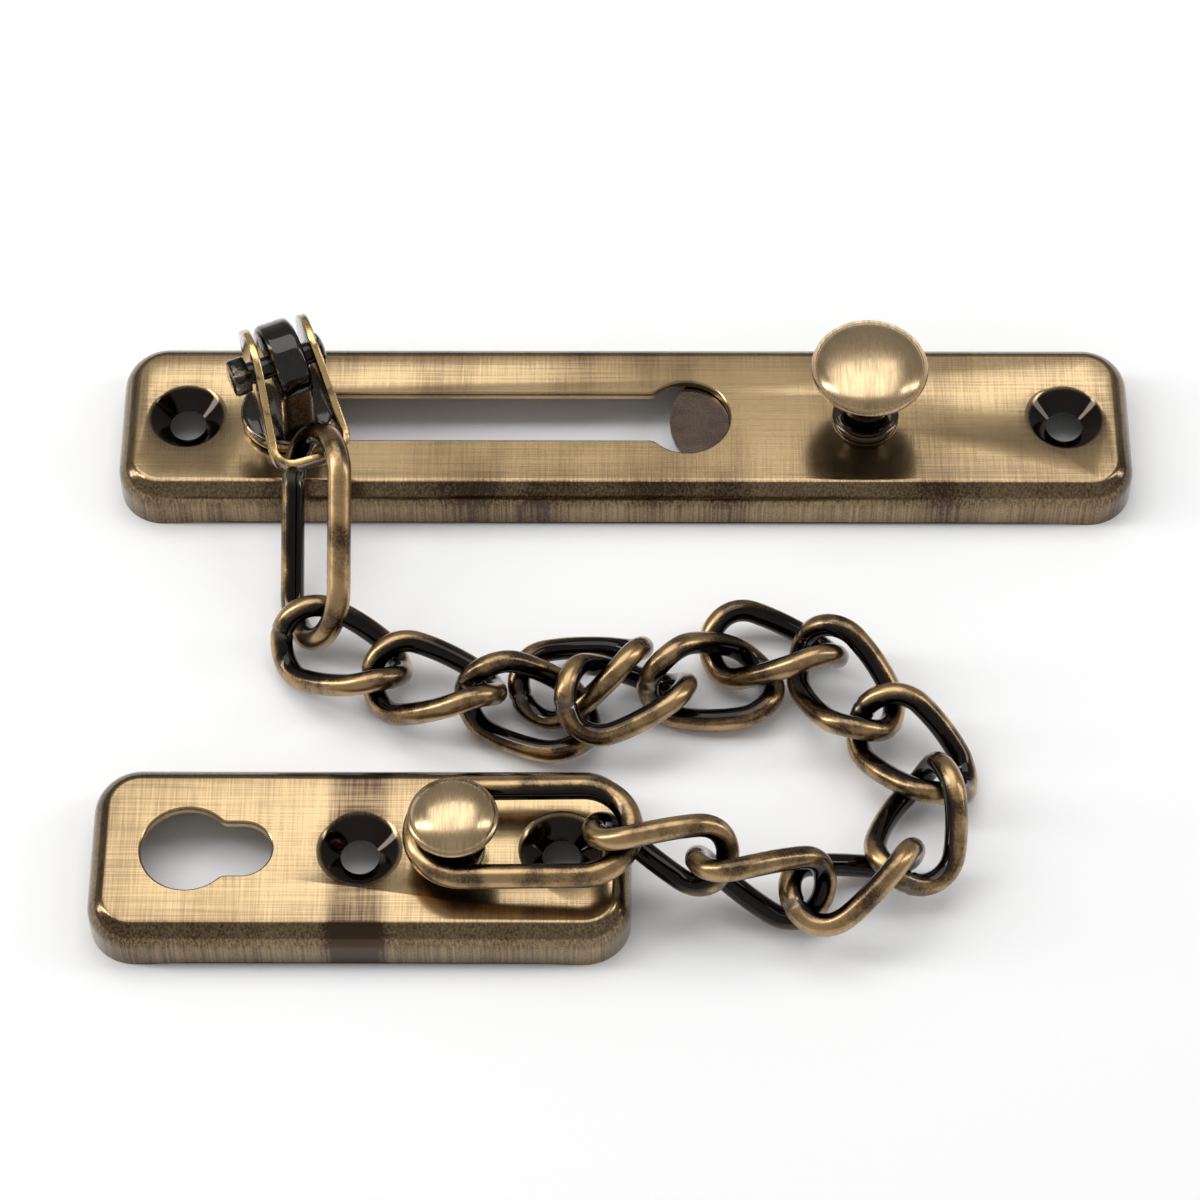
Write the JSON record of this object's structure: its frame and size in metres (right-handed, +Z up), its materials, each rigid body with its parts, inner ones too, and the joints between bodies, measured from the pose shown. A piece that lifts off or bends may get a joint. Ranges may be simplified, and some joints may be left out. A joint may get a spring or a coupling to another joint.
{
  "type": "door chain guard",
  "caption": "Door chain guard: slotted slide plate with release knob, swivelling slider, twisted-link chain, and keeper plate with knob.",
  "frame": {"origin": "middle of the set's footprint, on the plane both plates lie on", "axes": "+X along the plates towards the release knob, +Y from the keeper plate to the slide plate, +Z up out of the plates"},
  "size_m": [0.15, 0.1016, 0.0276],
  "materials": {
    "brushed_brass": "brushed antique brass, clear lacquered, dark in its edges",
    "rubbed_brass": "rubbed antique brass",
    "black_brass": "blackened, glossy",
    "chain_brass": "blackened, rubbed bright on the outer faces"
  },
  "bodies": {
    "slide_plate": {"slide_plate": "brushed_brass", "button_collar": "black_brass"},
    "button": {"release_button": "rubbed_brass", "button_clip": "black_brass"},
    "leaf": {"latch_leaf": "black_brass"},
    "slider": {"slide_stud": "black_brass"},
    "lug": {"swivel_lug": "black_brass", "strap_pin": "black_brass"},
    "strap": {"strap": "black_brass"},
    "slider_link": {"slider_link": "chain_brass"},
    "link_01": {"chain_link_01": "chain_brass"},
    "link_02": {"chain_link_02": "chain_brass"},
    "link_03": {"chain_link_03": "chain_brass"},
    "link_04": {"chain_link_04": "chain_brass"},
    "link_05": {"chain_link_05": "chain_brass"},
    "link_06": {"chain_link_06": "chain_brass"},
    "link_07": {"chain_link_07": "chain_brass"},
    "link_08": {"chain_link_08": "chain_brass"},
    "link_09": {"chain_link_09": "chain_brass"},
    "link_10": {"chain_link_10": "chain_brass"},
    "link_11": {"chain_link_11": "chain_brass"},
    "link_12": {"chain_link_12": "chain_brass"},
    "link_13": {"chain_link_13": "chain_brass"},
    "keeper_link": {"keeper_link": "chain_brass"},
    "keeper": {"keeper_plate": "brushed_brass", "keeper_knob": "rubbed_brass", "knob_washer": "black_brass"}
  },
  "joints": [
    {"name": "button_travel", "type": "slide", "parent": "slide_plate", "child": "button", "axis": [0, 0, -1], "range_m": [0, 0.0018], "stiffness_N_per_m": 400, "springref_m": -0.001},
    {"name": "leaf_hinge", "type": "hinge", "parent": "slide_plate", "child": "leaf", "pos_m": [0.0724, 0.0369, 0.00615], "axis": [0, -1, 0], "range_deg": [0, 2.85]},
    {"name": "slider_travel", "type": "slide", "parent": "slide_plate", "child": "slider", "axis": [1, 0, 0], "range_m": [0, 0.05]},
    {"name": "lug_swivel", "type": "hinge", "parent": "slider", "child": "lug", "pos_m": [-0.05, 0.0369, 0.008], "axis": [0, 0, 1], "range_deg": [-20, 8]},
    {"name": "strap_swing", "type": "hinge", "parent": "lug", "child": "strap", "pos_m": [-0.05, 0.0369, 0.0215], "axis": [-0.9135, -0.4067, 0], "range_deg": [0, 40]},
    {"name": "slider_link_hinge", "type": "hinge", "parent": "strap", "child": "slider_link", "pos_m": [-0.04483, 0.0259, 0.01911], "axis": [0, 0, 1], "range_deg": [-12, 2]},
    {"name": "link_01_hinge", "type": "hinge", "parent": "slider_link", "child": "link_01", "pos_m": [-0.04717, 0.00039, 0.00474], "axis": [0, 0, 1], "range_deg": [-5, 12]},
    {"name": "link_02_hinge", "type": "hinge", "parent": "link_01", "child": "link_02", "pos_m": [-0.03448, -0.00633, 0.0049], "axis": [0, 0, -1], "range_deg": [-16, 16]},
    {"name": "link_03_hinge", "type": "hinge", "parent": "link_02", "child": "link_03", "pos_m": [-0.02074, -0.01041, 0.00739], "axis": [0, 0, 1], "range_deg": [-22, 19]},
    {"name": "link_04_hinge", "type": "hinge", "parent": "link_03", "child": "link_04", "pos_m": [-0.0101, -0.01188, 0.00288], "axis": [0, 0, -1], "range_deg": [-4, 16]},
    {"name": "link_05_hinge", "type": "hinge", "parent": "link_04", "child": "link_05", "pos_m": [-0.00313, -0.00918, 0.0089], "axis": [0, 0, -1], "range_deg": [-4, 14]},
    {"name": "link_06_hinge", "type": "hinge", "parent": "link_05", "child": "link_06", "pos_m": [0.00558, -0.00829, 0.00598], "axis": [0, 0, -1], "range_deg": [-22, 9]},
    {"name": "link_07_hinge", "type": "hinge", "parent": "link_06", "child": "link_07", "pos_m": [0.01657, -0.00293, 0.00284], "axis": [0, 0, 1], "range_deg": [-5, 11]},
    {"name": "link_08_hinge", "type": "hinge", "parent": "link_07", "child": "link_08", "pos_m": [0.0281, -0.00221, 0.00598], "axis": [0, 0, -1], "range_deg": [-22, 3]},
    {"name": "link_09_hinge", "type": "hinge", "parent": "link_08", "child": "link_09", "pos_m": [0.0348, -0.01461, 0.00623], "axis": [0, 0, 1], "range_deg": [-2, 17]},
    {"name": "link_10_hinge", "type": "hinge", "parent": "link_09", "child": "link_10", "pos_m": [0.04498, -0.0242, 0.00532], "axis": [0, 0, 1], "range_deg": [-2, 15]},
    {"name": "link_11_hinge", "type": "hinge", "parent": "link_10", "child": "link_11", "pos_m": [0.03931, -0.03888, 0.0063], "axis": [0, 0, -1], "range_deg": [-22, 2]},
    {"name": "link_12_hinge", "type": "hinge", "parent": "link_11", "child": "link_12", "pos_m": [0.02505, -0.04408, 0.00636], "axis": [0, 0, 1], "range_deg": [-3, 7]},
    {"name": "link_13_hinge", "type": "hinge", "parent": "link_12", "child": "link_13", "pos_m": [0.01164, -0.04126, 0.01212], "axis": [0, 0, 1], "range_deg": [-5, 22]},
    {"name": "keeper_link_hinge", "type": "hinge", "parent": "link_13", "child": "keeper_link", "pos_m": [-0.00195, -0.03754, 0.01436], "axis": [0, 0, -1], "range_deg": [-7, 10]},
    {"name": "keeper_turn", "type": "hinge", "parent": "keeper_link", "child": "keeper", "pos_m": [-0.02383, -0.03693, 0.008], "axis": [0, 0, 1], "range_deg": [-6, 9]}
  ],
  "couplings": [
    {"joint": "leaf_hinge", "follows": "button_travel", "rad_per_m": 27.1}
  ]
}
